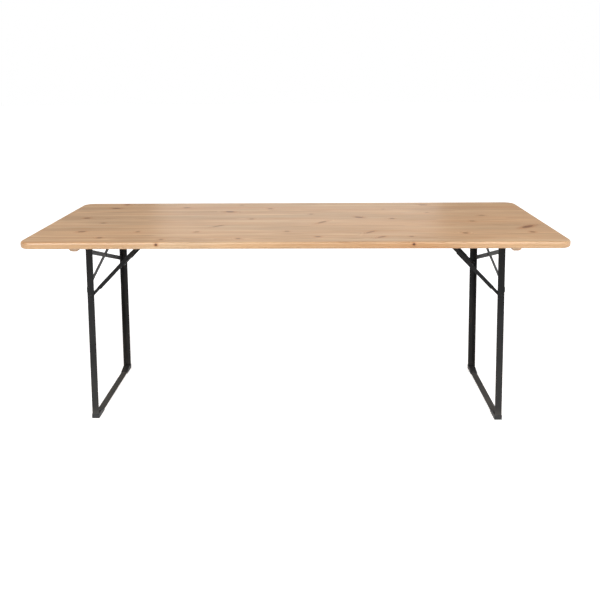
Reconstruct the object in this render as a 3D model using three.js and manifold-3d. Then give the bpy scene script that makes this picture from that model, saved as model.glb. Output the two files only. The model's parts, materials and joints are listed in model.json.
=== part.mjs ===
// Folding picnic table: a glued softwood top on two fold-flat angle-steel leg frames.
// Millimetres, +Z up. X runs along the table, -Y is its front, Z = 0 is the floor.

import * as THREE from 'three';
import { mergeVertices } from 'three/addons/utils/BufferGeometryUtils.js';
import Module from 'manifold-3d';

const wasm = await Module();
wasm.setup();

// ---- driving dimensions -------------------------------------------------------------

const TOP_LENGTH = 2200;
const TOP_WIDTH = 800;
const TABLE_HEIGHT = 815;
const TOP_THICKNESS = 28;
const TOP_CORNER_RADIUS = 50;
const TOP_EDGE_ROUND = 9;
const PLANK_COUNT = 8;

const GAP = 0.2; // between pieces that are glued, welded or screwed face to face
const FIT = 0.3; // clearance of everything that turns or slides

const ANGLE = 29; // leg angle steel, both flanges
const STEEL = 3; // thickness of the angles, braces and brackets
const LEG_X = 864; // middle of a leg's face
const LEG_OUTER_Y = 246; // outer face of a leg
const HINGE_DROP = 20; // hinge axis below the underside of the top
const LEG_ABOVE_HINGE = 9;
const STRUT_PIVOT_Z = 541;
const STRUT_REACH = 216; // from the hinge inward to the strut's upper pivot
const PIVOT_RADIUS = 4;

const FLOOR_BAR_THICKNESS = 4;
const FLOOR_BAR_LIFT = 3;

const BRACE_WIDTH = 19;
const BRACE_HIGH_Z = 734;
const BRACE_LOW_Z = 572;
const BRACE_END_Y = 232; // where the two heights are taken
const BRACE_TIP = 9; // length of a bar past that
const BRACE_RIVET_RADIUS = 3;
const BRACE_RIVET_HEAD_RADIUS = 6;
const BRACE_RIVET_HEAD = 2.5;

const CAP_WALL = 1.2;
const CAP_LENGTH = 72;
const CAP_HEIGHT = 20;
const CAP_TOE_HEIGHT = 9;
const CAP_ROUND = 2;

const EAR_RADIUS = 9.2;
const BRACKET_INWARD = 32;
const BRACKET_OUTWARD = 14;
const BRACKET_DEPTH = 41;
const PIN_HEAD_RADIUS = 7;
const PIN_HEAD = 3.6;
const PIN_TAIL_RADIUS = 6.5;
const PIN_TAIL = 3;

const STRUT_ABOVE = 7.5; // the profile's edges, measured from the line between its pivots
const STRUT_BELOW = 9;
const STRUT_FLANGE = 18;
const STRUT_TONGUE = 50; // length of the narrow flat ends
const STRUT_TONGUE_RADIUS = 6.5; // half their width
const STRUT_FLANGE_INSET = 1; // the flange starts this far inside the web's outer face
const BOLT_HEAD_RADIUS = 8;
const BOLT_HEAD = 4;
const BOLT_STUB = 1.5; // thread that shows past the nut
const NUT_RADIUS = 7;
const NUT_HEIGHT = 6;
const WASHER_RADIUS = 8.5;
const WASHER_THICKNESS = 2.7;
const STRUT_RIVET_RADIUS = 3.5;
const STRUT_RIVET_HEAD_RADIUS = 6;
const STRUT_RIVET_HEAD = 3.2; // on the inner side
const STRUT_RIVET_TAIL = 2.5; // on the outer side

const TIE_ROD_RADIUS = 5;
const TIE_ROD_CHAMFER = 1;
const RAIL_OUTER_Y = 218;
const RAIL_FLANGE = 25;
const RAIL_DEPTH = 31;
const RAIL_END = 14; // rail length past each end position of the tie rod

const CLIP_WIDTH = 24;
const CLIP_STRIP = 1.5;
const CLIP_INWARD = 24;
const CLIP_OUTWARD = 47;
const CLIP_ARM = 12;
const CLIP_FLARE = 4; // the arms' tips open out by this much, over the same length

const BATTEN_WIDTH = 35;
const BATTEN_HEIGHT = 36;
const BATTEN_LENGTH = 620;
const BATTEN_INNER_X = 889;
const BATTEN_ROUND = 10;
const BATTEN_END_CHAMFER = 14;

// ---- worked out from them -----------------------------------------------------------

const UNDERSIDE = TABLE_HEIGHT - TOP_THICKNESS;
const HINGE_Z = UNDERSIDE - HINGE_DROP;
const LEG_TOP = HINGE_Z + LEG_ABOVE_HINGE;
const FLOOR_BAR_TOP = FLOOR_BAR_LIFT + FLOOR_BAR_THICKNESS;
const LEG_BOTTOM = FLOOR_BAR_TOP + GAP;
const LEG_OUT = LEG_X + ANGLE / 2;
const LEG_IN = LEG_X - ANGLE / 2;
const HINGE_TO_PIVOT = HINGE_Z - STRUT_PIVOT_Z;
const STRUT_LENGTH = Math.hypot(HINGE_TO_PIVOT, STRUT_REACH);
const STRUT_TILT = Math.atan2(HINGE_TO_PIVOT, STRUT_REACH);
const ROD_X = LEG_X - STRUT_REACH;
const ROD_FOLDED_X = LEG_X - HINGE_TO_PIVOT - STRUT_LENGTH;

// layers across the table at a leg, from its outer face inward
const FACE_IN = LEG_OUTER_Y - STEEL;
const EAR_OUT = FACE_IN - FIT;
const EAR_IN = EAR_OUT - STEEL;
const WASHER_OUT = FACE_IN - GAP;
const WASHER_IN = WASHER_OUT - WASHER_THICKNESS;
const TONGUE_OUT = WASHER_IN - FIT;
const TONGUE_IN = TONGUE_OUT - STEEL;
const ROD_END = TONGUE_IN - FIT - STRUT_RIVET_HEAD - FIT;

const ROUND = 16; // sides of a pin or a hole
const ARC = 5; // segments of a rounded corner
const EDGE_STEPS = 3; // facets of the top's rounded edge
const MERGE = 1e-4; // points closer than this are one point
const OVER = 2; // how far a cutting shape reaches past the faces that it cuts

// a domed head: height of its rim, and the place of its shoulder, as shares of its height and radius
const DOME_RIM = 0.4;
const DOME_SHOULDER_RADIUS = 0.65;
const DOME_SHOULDER_HEIGHT = 0.88;

// ---- finishes -----------------------------------------------------------------------

const pine = new THREE.MeshStandardMaterial({ color: 0xd0b090, roughness: 0.55, metalness: 0 });
const powderCoat = new THREE.MeshStandardMaterial({ color: 0x2b2b2d, roughness: 0.5, metalness: 0.3 });
const zinc = new THREE.MeshStandardMaterial({ color: 0x8c9094, roughness: 0.38, metalness: 0.9 });
const springSteel = new THREE.MeshStandardMaterial({ color: 0x6d7074, roughness: 0.32, metalness: 0.9 });
const capPlastic = new THREE.MeshStandardMaterial({ color: 0x161617, roughness: 0.6, metalness: 0 });

// ---- solids -------------------------------------------------------------------------

function toSolid(geometry) {
  const bare = geometry.clone();
  bare.deleteAttribute('normal');
  bare.deleteAttribute('uv');
  const merged = mergeVertices(bare, MERGE);
  const vertProperties = new Float32Array(merged.attributes.position.array);
  const triVerts = new Uint32Array(merged.index.array);
  return new wasm.Manifold(new wasm.Mesh({ numProp: 3, vertProperties, triVerts }));
}

function toGeometry(solid) {
  const mesh = solid.getMesh();
  const geometry = new THREE.BufferGeometry();
  geometry.setAttribute('position', new THREE.BufferAttribute(new Float32Array(mesh.vertProperties), 3));
  geometry.setIndex(new THREE.BufferAttribute(new Uint32Array(mesh.triVerts), 1));
  geometry.computeVertexNormals();
  return geometry;
}

function join(...geometries) {
  return toGeometry(geometries.map(toSolid).reduce((whole, next) => whole.add(next)));
}

function cut(geometry, ...tools) {
  return toGeometry(tools.map(toSolid).reduce((whole, tool) => whole.subtract(tool), toSolid(geometry)));
}

function common(first, second) {
  return toGeometry(toSolid(first).intersect(toSolid(second)));
}

// Mirrors a piece made for the right rear quarter (signX = signY = 1) into another quarter.
function mirrored(geometry, signX, signY) {
  const copy = toGeometry(toSolid(geometry));
  copy.scale(signX, signY, 1);
  if (signX * signY < 0) {
    const index = copy.index.array;
    for (let i = 0; i < index.length; i += 3) {
      [index[i], index[i + 1]] = [index[i + 1], index[i]];
    }
  }
  copy.computeVertexNormals();
  return copy;
}

function block(x0, x1, y0, y1, z0, z1) {
  const geometry = new THREE.BoxGeometry(x1 - x0, y1 - y0, z1 - z0);
  return geometry.translate((x0 + x1) / 2, (y0 + y1) / 2, (z0 + z1) / 2);
}

function extruded(shape, depth, options = {}) {
  return new THREE.ExtrudeGeometry(shape, { depth, bevelEnabled: false, curveSegments: ARC, ...options });
}

// The outline lies in X and Z, and the solid runs along Y from y0 to y1.
function prismAlongY(shape, y0, y1) {
  return extruded(shape, y1 - y0).rotateX(Math.PI / 2).translate(0, y1, 0);
}

// The outline lies in Y and Z, and the solid runs along X from x0 to x1.
function prismAlongX(shape, x0, x1) {
  const turn = new THREE.Matrix4().makeBasis(
    new THREE.Vector3(0, 1, 0),
    new THREE.Vector3(0, 0, 1),
    new THREE.Vector3(1, 0, 0),
  );
  return extruded(shape, x1 - x0).applyMatrix4(turn).translate(x0, 0, 0);
}

function prismAlongZ(shape, z0, z1) {
  return extruded(shape, z1 - z0).translate(0, 0, z0);
}

function outline(points) {
  return new THREE.Shape(points.map(([u, v]) => new THREE.Vector2(u, v)));
}

// A slot outline from (u0, v) to (u1, v) with round ends, u0 < u1.
function slotOutline(u0, u1, v, radius) {
  const shape = new THREE.Shape();
  shape.absarc(u1, v, radius, -Math.PI / 2, Math.PI / 2, false);
  shape.absarc(u0, v, radius, Math.PI / 2, (3 * Math.PI) / 2, false);
  return shape;
}

// A round bar or hole along Y.
function roundAlongY(radius, x, z, y0, y1) {
  return new THREE.CylinderGeometry(radius, radius, y1 - y0, ROUND).translate(x, (y0 + y1) / 2, z);
}

// A turned piece about Y through (x, z); the profile is [radius, y] from one axis end to the other.
function turnedAlongY(profile, x, z) {
  const points = profile.map(([radius, y]) => new THREE.Vector2(radius, y));
  return new THREE.LatheGeometry(points, ROUND).translate(x, 0, z);
}

// Outline of a domed head, from the rim of its flat side at y to its crown at y + height; height is signed.
function dome(radius, y, height) {
  return [
    [radius, y],
    [radius, y + DOME_RIM * height],
    [DOME_SHOULDER_RADIUS * radius, y + DOME_SHOULDER_HEIGHT * height],
    [0, y + height],
  ];
}

function add(parent, name, geometry, material) {
  const mesh = new THREE.Mesh(geometry, material);
  mesh.name = name;
  parent.add(mesh);
}

// ---- top ----------------------------------------------------------------------------

function slab() {
  const halfX = TOP_LENGTH / 2 - TOP_EDGE_ROUND;
  const halfY = TOP_WIDTH / 2 - TOP_EDGE_ROUND;
  const radius = TOP_CORNER_RADIUS - TOP_EDGE_ROUND;
  const shape = new THREE.Shape();
  shape.absarc(halfX - radius, halfY - radius, radius, 0, Math.PI / 2, false);
  shape.absarc(-halfX + radius, halfY - radius, radius, Math.PI / 2, Math.PI, false);
  shape.absarc(-halfX + radius, -halfY + radius, radius, Math.PI, 1.5 * Math.PI, false);
  shape.absarc(halfX - radius, -halfY + radius, radius, 1.5 * Math.PI, 2 * Math.PI, false);
  const rounding = {
    bevelEnabled: true,
    bevelSize: TOP_EDGE_ROUND,
    bevelThickness: TOP_EDGE_ROUND,
    bevelSegments: EDGE_STEPS,
  };
  const straight = TOP_THICKNESS - 2 * TOP_EDGE_ROUND;
  return extruded(shape, straight, rounding).translate(0, 0, UNDERSIDE + TOP_EDGE_ROUND);
}

function addTop(parent) {
  const whole = slab();
  const pitch = TOP_WIDTH / PLANK_COUNT;
  for (let i = 0; i < PLANK_COUNT; i += 1) {
    const front = -TOP_WIDTH / 2 + i * pitch;
    const y0 = i === 0 ? front - OVER : front + GAP / 2;
    const y1 = i === PLANK_COUNT - 1 ? front + pitch + OVER : front + pitch - GAP / 2;
    const lane = block(-TOP_LENGTH, TOP_LENGTH, y0, y1, UNDERSIDE - OVER, TABLE_HEIGHT + OVER);
    add(parent, `plank_${i + 1}`, common(whole, lane), pine);
  }
}

function batten() {
  const x0 = BATTEN_INNER_X;
  const x1 = x0 + BATTEN_WIDTH;
  const top = UNDERSIDE - GAP;
  const bottom = UNDERSIDE - BATTEN_HEIGHT;
  const section = new THREE.Shape();
  section.moveTo(x1, top);
  section.lineTo(x0, top);
  section.absarc(x0 + BATTEN_ROUND, bottom + BATTEN_ROUND, BATTEN_ROUND, Math.PI, 1.5 * Math.PI, false);
  section.absarc(x1 - BATTEN_ROUND, bottom + BATTEN_ROUND, BATTEN_ROUND, 1.5 * Math.PI, 2 * Math.PI, false);
  const end = BATTEN_LENGTH / 2;
  const side = outline([
    [-end, top + OVER],
    [-end, bottom + BATTEN_END_CHAMFER],
    [-end + BATTEN_END_CHAMFER, bottom],
    [-end + BATTEN_END_CHAMFER, bottom - OVER],
    [end - BATTEN_END_CHAMFER, bottom - OVER],
    [end - BATTEN_END_CHAMFER, bottom],
    [end, bottom + BATTEN_END_CHAMFER],
    [end, top + OVER],
  ]);
  return common(prismAlongY(section, -end - OVER, end + OVER), prismAlongX(side, x0 - OVER, x1 + OVER));
}

// ---- leg frame ----------------------------------------------------------------------

// Section of a leg: one flange faces front or rear, the other faces the table's end.
function legSection(grow) {
  const out = LEG_OUT + grow;
  const back = LEG_OUTER_Y + grow;
  const thick = STEEL + 2 * grow;
  const toe = ANGLE + 2 * grow;
  return outline([
    [out, back],
    [out - toe, back],
    [out - toe, back - thick],
    [out - thick, back - thick],
    [out - thick, back - toe],
    [out, back - toe],
  ]);
}

function leg() {
  const hole = PIVOT_RADIUS + FIT;
  const y0 = FACE_IN - OVER;
  const y1 = LEG_OUTER_Y + OVER;
  return cut(
    prismAlongZ(legSection(0), LEG_BOTTOM, LEG_TOP),
    roundAlongY(hole, LEG_X, HINGE_Z, y0, y1),
    roundAlongY(hole, LEG_X, STRUT_PIVOT_Z, y0, y1),
  );
}

function floorBar() {
  return block(LEG_IN, LEG_OUT, -LEG_OUTER_Y, LEG_OUTER_Y, FLOOR_BAR_LIFT, FLOOR_BAR_TOP);
}

// A plastic cap over the corner of a leg and the floor bar; its sole is what the table stands on.
function footCap() {
  const outer = LEG_OUTER_Y + CAP_WALL;
  const inner = outer - CAP_LENGTH;
  const heel = LEG_OUTER_Y - ANGLE - CAP_WALL;
  const side = new THREE.Shape();
  side.moveTo(inner, CAP_ROUND);
  side.lineTo(inner + CAP_ROUND, 0);
  side.absarc(outer - CAP_ROUND, CAP_ROUND, CAP_ROUND, 1.5 * Math.PI, 2 * Math.PI, false);
  side.absarc(outer - CAP_ROUND, CAP_HEIGHT - CAP_ROUND, CAP_ROUND, 0, Math.PI / 2, false);
  side.lineTo(heel, CAP_HEIGHT);
  side.lineTo(inner + CAP_ROUND, CAP_TOE_HEIGHT);
  side.lineTo(inner, CAP_TOE_HEIGHT - CAP_ROUND);
  const x0 = LEG_IN - CAP_WALL;
  const x1 = LEG_OUT + CAP_WALL;
  const legPocket = prismAlongZ(legSection(GAP), FLOOR_BAR_LIFT - GAP, CAP_HEIGHT + OVER);
  const barPocket = block(
    LEG_IN - GAP, LEG_OUT + GAP, inner - OVER, LEG_OUTER_Y + GAP, FLOOR_BAR_LIFT - GAP, FLOOR_BAR_TOP + GAP,
  );
  return cut(prismAlongX(side, x0, x1), legPocket, barPocket);
}

// A flat bar of the leg frame's cross, from height zFront at the front leg to zRear at the rear one.
function brace(zFront, zRear, x0) {
  const slope = (zRear - zFront) / (2 * BRACE_END_Y);
  const middle = (zFront + zRear) / 2;
  const half = (BRACE_WIDTH / 2) * Math.hypot(1, slope);
  const end = BRACE_END_Y + BRACE_TIP;
  const bar = outline([
    [-end, middle - slope * end - half],
    [end, middle + slope * end - half],
    [end, middle + slope * end + half],
    [-end, middle - slope * end + half],
  ]);
  const hole = new THREE.Path();
  hole.absarc(0, middle, BRACE_RIVET_RADIUS + FIT, 0, 2 * Math.PI, false);
  bar.holes.push(hole);
  return prismAlongX(bar, x0, x0 + STEEL);
}

// Shouldered rivet that ties the two bars where they cross, with its collar between them.
function braceRivet(innerX, outerX) {
  const shank = BRACE_RIVET_RADIUS;
  const head = BRACE_RIVET_HEAD_RADIUS;
  const profile = [
    ...dome(head, innerX - FIT, -BRACE_RIVET_HEAD).reverse(),
    [shank, innerX - FIT],
    [shank, innerX + STEEL + FIT],
    [head, innerX + STEEL + FIT],
    [head, outerX - FIT],
    [shank, outerX - FIT],
    [shank, outerX + STEEL + FIT],
    ...dome(head, outerX + STEEL + FIT, BRACE_RIVET_HEAD),
  ];
  const middle = (BRACE_HIGH_Z + BRACE_LOW_Z) / 2;
  return turnedAlongY(profile, 0, 0).rotateZ(-Math.PI / 2).translate(0, 0, middle);
}

// ---- hinge --------------------------------------------------------------------------

function hingeBracket() {
  const plateBottom = UNDERSIDE - GAP - STEEL;
  const plate = block(
    LEG_X - BRACKET_INWARD, LEG_X + BRACKET_OUTWARD, EAR_OUT - BRACKET_DEPTH, EAR_OUT,
    plateBottom, UNDERSIDE - GAP,
  );
  const ear = new THREE.Shape();
  ear.moveTo(LEG_X + EAR_RADIUS, plateBottom + STEEL / 2);
  ear.lineTo(LEG_X - EAR_RADIUS, plateBottom + STEEL / 2);
  ear.absarc(LEG_X, HINGE_Z, EAR_RADIUS, Math.PI, 2 * Math.PI, false);
  return cut(
    join(plate, prismAlongY(ear, EAR_IN, EAR_OUT)),
    roundAlongY(PIVOT_RADIUS + FIT, LEG_X, HINGE_Z, EAR_IN - OVER, EAR_OUT + OVER),
  );
}

function hingePin() {
  return turnedAlongY([
    ...dome(PIN_TAIL_RADIUS, EAR_IN - FIT, -PIN_TAIL).reverse(),
    [PIVOT_RADIUS, EAR_IN - FIT],
    [PIVOT_RADIUS, LEG_OUTER_Y + FIT],
    ...dome(PIN_HEAD_RADIUS, LEG_OUTER_Y + FIT, PIN_HEAD),
  ], LEG_X, HINGE_Z);
}

// ---- struts, tie rod, rails and lock -------------------------------------------------

// Made lying along -X from its lower pivot, then turned and placed: an angle profile with flat ends.
function strut() {
  const low = -STRUT_BELOW;
  const inner = -STRUT_LENGTH + STRUT_TONGUE;
  const outer = -STRUT_TONGUE;
  const ends = prismAlongY(slotOutline(-STRUT_LENGTH, 0, 0, STRUT_TONGUE_RADIUS), TONGUE_IN, TONGUE_OUT);
  const web = block(inner, outer, TONGUE_IN, TONGUE_OUT, low, STRUT_ABOVE);
  const flange = block(
    inner, outer, TONGUE_OUT - STRUT_FLANGE, TONGUE_OUT - STRUT_FLANGE_INSET, low, low + STEEL,
  );
  const holes = [
    roundAlongY(PIVOT_RADIUS + FIT, 0, 0, TONGUE_IN - OVER, TONGUE_OUT + OVER),
    roundAlongY(STRUT_RIVET_RADIUS + FIT, -STRUT_LENGTH, 0, TONGUE_IN - OVER, TONGUE_OUT + OVER),
  ];
  const bar = cut(join(ends, web, flange), ...holes);
  return bar.rotateY(STRUT_TILT).translate(LEG_X, 0, STRUT_PIVOT_Z);
}

function strutBolt() {
  const nutIn = TONGUE_IN - FIT - NUT_HEIGHT;
  return turnedAlongY([
    [0, nutIn - BOLT_STUB],
    [PIVOT_RADIUS, nutIn - BOLT_STUB],
    [PIVOT_RADIUS, nutIn],
    [NUT_RADIUS, nutIn],
    [NUT_RADIUS, TONGUE_IN - FIT],
    [PIVOT_RADIUS, TONGUE_IN - FIT],
    [PIVOT_RADIUS, LEG_OUTER_Y + FIT],
    ...dome(BOLT_HEAD_RADIUS, LEG_OUTER_Y + FIT, BOLT_HEAD),
  ], LEG_X, STRUT_PIVOT_Z);
}

function strutWasher() {
  const profile = [
    [PIVOT_RADIUS + FIT, WASHER_IN],
    [WASHER_RADIUS, WASHER_IN],
    [WASHER_RADIUS, WASHER_OUT],
    [PIVOT_RADIUS + FIT, WASHER_OUT],
    [PIVOT_RADIUS + FIT, WASHER_IN],
  ];
  return turnedAlongY(profile, LEG_X, STRUT_PIVOT_Z);
}

function strutRivet() {
  return turnedAlongY([
    ...dome(STRUT_RIVET_HEAD_RADIUS, TONGUE_IN - FIT, -STRUT_RIVET_HEAD).reverse(),
    [STRUT_RIVET_RADIUS, TONGUE_IN - FIT],
    [STRUT_RIVET_RADIUS, TONGUE_OUT + FIT],
    ...dome(STRUT_RIVET_HEAD_RADIUS, TONGUE_OUT + FIT, STRUT_RIVET_TAIL),
  ], ROD_X, HINGE_Z);
}

function tieRod() {
  const tip = TIE_ROD_RADIUS - TIE_ROD_CHAMFER;
  return turnedAlongY([
    [0, -ROD_END],
    [tip, -ROD_END],
    [TIE_ROD_RADIUS, -ROD_END + TIE_ROD_CHAMFER],
    [TIE_ROD_RADIUS, ROD_END - TIE_ROD_CHAMFER],
    [tip, ROD_END],
    [0, ROD_END],
  ], ROD_X, HINGE_Z);
}

// Slotted angle screwed to the underside; the tie rod slides along its slot.
function guideRail() {
  const top = UNDERSIDE - GAP;
  const section = outline([
    [RAIL_OUTER_Y, top],
    [RAIL_OUTER_Y - RAIL_FLANGE, top],
    [RAIL_OUTER_Y - RAIL_FLANGE, top - STEEL],
    [RAIL_OUTER_Y - STEEL, top - STEEL],
    [RAIL_OUTER_Y - STEEL, top - RAIL_DEPTH],
    [RAIL_OUTER_Y, top - RAIL_DEPTH],
  ]);
  const slot = slotOutline(ROD_FOLDED_X, ROD_X, HINGE_Z, TIE_ROD_RADIUS + FIT);
  return cut(
    prismAlongX(section, ROD_FOLDED_X - RAIL_END, ROD_X + RAIL_END),
    prismAlongY(slot, RAIL_OUTER_Y - STEEL - OVER, RAIL_OUTER_Y + OVER),
  );
}

// Hairpin of spring strip under the top: the tie rod snaps in between its two arms.
function lockClip() {
  const top = UNDERSIDE - GAP;
  const back = ROD_X + CLIP_OUTWARD;
  const tip = ROD_X - CLIP_ARM;
  const grip = TIE_ROD_RADIUS + FIT;
  const low = HINGE_Z - grip - CLIP_STRIP;
  const high = HINGE_Z + grip + CLIP_STRIP;
  const strip = outline([
    [ROD_X - CLIP_INWARD, top],
    [ROD_X - CLIP_INWARD, top - CLIP_STRIP],
    [back - CLIP_STRIP, top - CLIP_STRIP],
    [back - CLIP_STRIP, high],
    [tip, high],
    [tip - CLIP_FLARE, high + CLIP_FLARE],
    [tip - CLIP_FLARE, HINGE_Z + grip + CLIP_FLARE],
    [tip, HINGE_Z + grip],
    [back - CLIP_STRIP, HINGE_Z + grip],
    [back - CLIP_STRIP, HINGE_Z - grip],
    [tip, HINGE_Z - grip],
    [tip - CLIP_FLARE, HINGE_Z - grip - CLIP_FLARE],
    [tip - CLIP_FLARE, low - CLIP_FLARE],
    [tip, low],
    [back, low],
    [back, top],
  ]);
  return prismAlongY(strip, -CLIP_WIDTH / 2, CLIP_WIDTH / 2);
}

// ---- assembly -----------------------------------------------------------------------

function addSide(parent, side, signX) {
  const innerBraceX = LEG_OUT - STEEL - GAP - STEEL;
  const outerBraceX = LEG_OUT + GAP;
  const own = (name, geometry, material) => {
    add(parent, `${side}_${name}`, mirrored(geometry, signX, 1), material);
  };
  own('floor_bar', floorBar(), powderCoat);
  own('inner_brace', brace(BRACE_HIGH_Z, BRACE_LOW_Z, innerBraceX), powderCoat);
  own('outer_brace', brace(BRACE_LOW_Z, BRACE_HIGH_Z, outerBraceX), powderCoat);
  own('brace_rivet', braceRivet(innerBraceX, outerBraceX), powderCoat);
  own('tie_rod', tieRod(), zinc);
  own('lock_clip', lockClip(), springSteel);
  own('batten', batten(), pine);

  const corner = [
    ['leg', leg(), powderCoat],
    ['foot_cap', footCap(), capPlastic],
    ['hinge_bracket', hingeBracket(), powderCoat],
    ['hinge_pin', hingePin(), powderCoat],
    ['strut', strut(), powderCoat],
    ['strut_bolt', strutBolt(), powderCoat],
    ['strut_washer', strutWasher(), zinc],
    ['strut_rivet', strutRivet(), powderCoat],
    ['guide_rail', guideRail(), powderCoat],
  ];
  for (const [end, signY] of [['front', -1], ['rear', 1]]) {
    for (const [piece, geometry, material] of corner) {
      add(parent, `${side}_${end}_${piece}`, mirrored(geometry, signX, signY), material);
    }
  }
}

const table = new THREE.Group();
addTop(table);
addSide(table, 'left', -1);
addSide(table, 'right', 1);

export default table;
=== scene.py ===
"""Folding picnic table: a varnished softwood top on two folding angle-steel leg frames.

Metres, in the frame of the CAD model: X along the table, -Y its front, Z = 0 the floor.
Each piece is made for the right rear quarter and mirrored into the others.
"""
import json
import math

import bmesh
import bpy
from mathutils import Matrix, Vector


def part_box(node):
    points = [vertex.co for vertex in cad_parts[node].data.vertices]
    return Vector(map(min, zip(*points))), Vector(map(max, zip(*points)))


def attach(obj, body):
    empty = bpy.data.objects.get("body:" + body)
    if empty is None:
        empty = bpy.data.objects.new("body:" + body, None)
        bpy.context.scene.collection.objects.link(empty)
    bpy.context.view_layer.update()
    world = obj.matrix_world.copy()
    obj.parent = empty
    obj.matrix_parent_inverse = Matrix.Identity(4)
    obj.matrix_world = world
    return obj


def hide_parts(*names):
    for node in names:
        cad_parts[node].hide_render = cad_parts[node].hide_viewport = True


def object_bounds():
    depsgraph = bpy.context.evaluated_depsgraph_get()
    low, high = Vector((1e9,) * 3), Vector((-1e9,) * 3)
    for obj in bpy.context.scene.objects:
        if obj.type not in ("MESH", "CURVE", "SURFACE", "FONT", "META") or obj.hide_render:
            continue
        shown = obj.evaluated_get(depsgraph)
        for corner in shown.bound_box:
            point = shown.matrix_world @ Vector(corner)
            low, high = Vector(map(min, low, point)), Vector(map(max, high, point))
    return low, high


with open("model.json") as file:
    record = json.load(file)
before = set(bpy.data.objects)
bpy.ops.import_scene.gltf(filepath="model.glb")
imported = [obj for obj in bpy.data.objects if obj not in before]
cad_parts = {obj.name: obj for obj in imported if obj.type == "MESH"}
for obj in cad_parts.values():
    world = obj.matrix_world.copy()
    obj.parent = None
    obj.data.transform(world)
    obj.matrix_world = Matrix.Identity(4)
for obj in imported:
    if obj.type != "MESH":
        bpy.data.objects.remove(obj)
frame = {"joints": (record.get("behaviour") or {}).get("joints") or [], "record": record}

CAD_BOX = [list(corner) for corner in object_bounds()]
MM = 0.001
SIDES = {"left": -1, "right": 1}
ENDS = {"front": -1, "rear": 1}
SCENE = bpy.context.scene

# ---- sizes that the frame doesn't hold ------------------------------------------------

STEEL = 3 * MM
FIT = 0.3 * MM
PIVOT_RADIUS = 4 * MM
TOP_CORNER = 50 * MM
TOP_ROUND = 9 * MM
BOARD_GAP = 0.06 * MM
BOARD_EASE = 0.3 * MM
BATTEN_ROUND = 10 * MM
BATTEN_CHAMFER = 14 * MM
CAP_WALL = 1.2 * MM
BRACE_WIDTH = 19 * MM
STRUT_ABOVE = 7.5 * MM
STRUT_BELOW = 9 * MM
STRUT_TONGUE = 50 * MM
STRUT_TONGUE_RADIUS = 6.5 * MM
TOE_ROUND = 1.4 * MM
ANGLE_FILLET = 1.5 * MM
EDGE_EASE = 0.45 * MM
TURN_STEPS = 40
SLIVER = 0.004 * MM  # points closer together than this are one point
SMOOTH_UNDER = 42  # faces that meet at less than this many degrees shade as one
LEG_CHAMFER = 7 * MM
CAP_TOE = 9 * MM
CAP_PLAY = 0.2 * MM
RIB_PITCH = 9 * MM
RIB_WIDTH = 1.6 * MM
RIB_DEPTH = 0.8 * MM
BRACE_DRILL = 3.3 * MM
BRACE_SHANK = 3 * MM
WELD_RADIUS = 1.6 * MM
WELD_STEP = 0.45 * MM
WELD_SIDES = 12
RIVET_SHANK = 3.5 * MM
PIN_TAIL_RADIUS = 6.5 * MM
NUT_HEIGHT = 6 * MM
NUT_CORNER = 7 * MM
THREAD_PITCH = 0.7 * MM
STRUT_SLANT = 9 * MM
ROD_WEAR = 0.15 * MM
ROD_CHAMFER = 1.2 * MM
RAIL_CHAMFER = 5 * MM
CLIP_STRIP = 1.5 * MM
CLIP_BEND = 2.2 * MM
CLIP_ARM = 12 * MM
CLIP_FLARE = 4 * MM

# ---- camera ---------------------------------------------------------------------------

CAMERA_LENS = 39.02
CAMERA_SHIFT = -0.265
CAMERA_PLACE = (0.0908, -2.9032, 1.4682)
CAMERA_PITCH = 5.768
CAMERA_YAW = -1.334
CAMERA_ROLL = -0.473


def make_camera():
    """A camera in front of the table, a little above it, with its lens shifted down."""
    pitch, yaw, roll = (math.radians(a) for a in (CAMERA_PITCH, CAMERA_YAW, CAMERA_ROLL))
    flat = math.cos(pitch)
    ahead = Vector((math.sin(yaw) * flat, math.cos(yaw) * flat, -math.sin(pitch)))
    level = Vector((math.cos(yaw), -math.sin(yaw), 0))
    above = level.cross(ahead)
    right = level * math.cos(roll) + above * math.sin(roll)
    up = above * math.cos(roll) - level * math.sin(roll)
    data = bpy.data.cameras.new("camera")
    data.sensor_width = 36
    data.lens = CAMERA_LENS
    data.shift_y = CAMERA_SHIFT
    camera = bpy.data.objects.new("camera", data)
    SCENE.collection.objects.link(camera)
    turn = Matrix((right, up, -ahead)).transposed().to_4x4()
    camera.matrix_world = Matrix.Translation(CAMERA_PLACE) @ turn
    SCENE.camera = camera


make_camera()

# ---- materials ------------------------------------------------------------------------


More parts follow.
